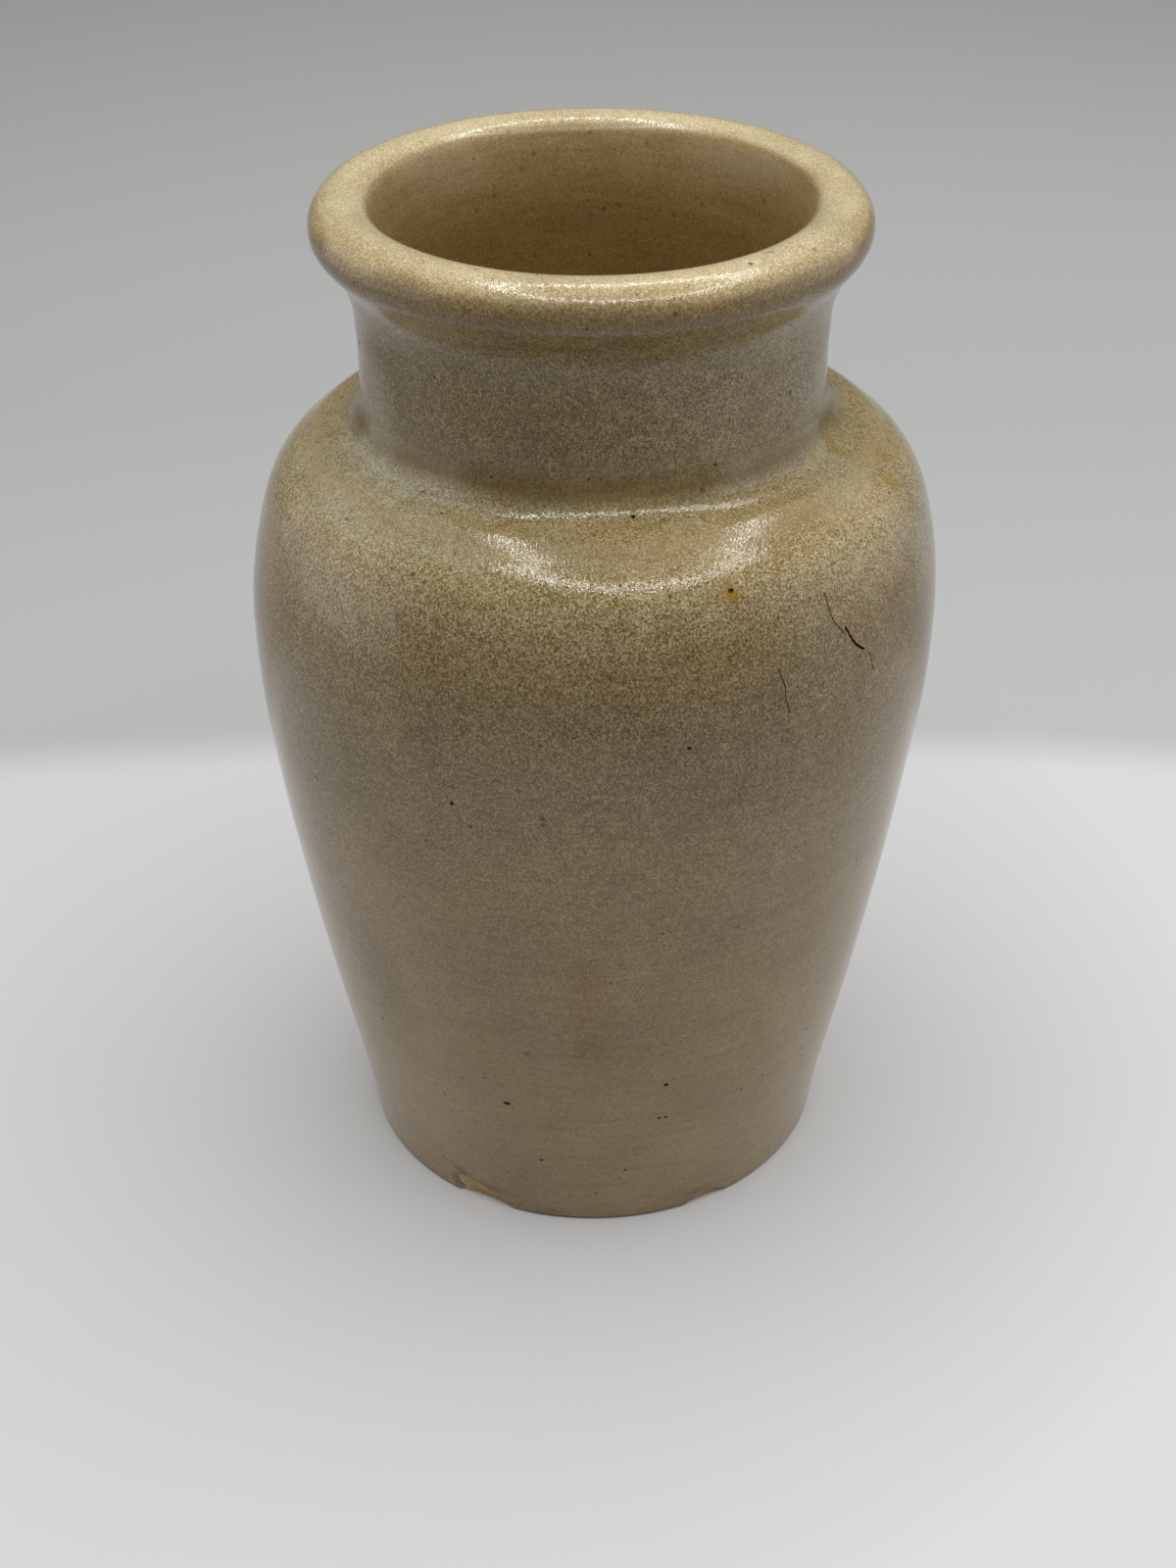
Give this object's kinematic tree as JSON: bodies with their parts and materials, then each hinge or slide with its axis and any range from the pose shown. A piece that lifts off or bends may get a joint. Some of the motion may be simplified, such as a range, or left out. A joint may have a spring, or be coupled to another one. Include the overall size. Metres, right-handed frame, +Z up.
{
  "type": "stoneware cream pot",
  "caption": "Small waisted-neck stoneware jar with a rolled rim, round shoulder and tapering body, glazed inside and out, standing on a bare foot ring.",
  "frame": {"origin": "centre of the foot, on the surface the pot stands on", "axes": "+Z up along the axis the pot was thrown on"},
  "size_m": [0.0652, 0.0652, 0.1],
  "materials": {
    "stoneware": "bare fired stoneware, dry and slightly sandy, seen on the foot and in the chips",
    "outside_glaze": "glossy oatmeal-beige feldspar glaze, finely mottled, with small iron specks",
    "lining_glaze": "glossy oatmeal-beige glaze, poured inside"
  },
  "bodies": {
    "root": {"stoneware_body": "stoneware", "outside_glaze": "outside_glaze", "lining_glaze": "lining_glaze"}
  },
  "joints": []
}
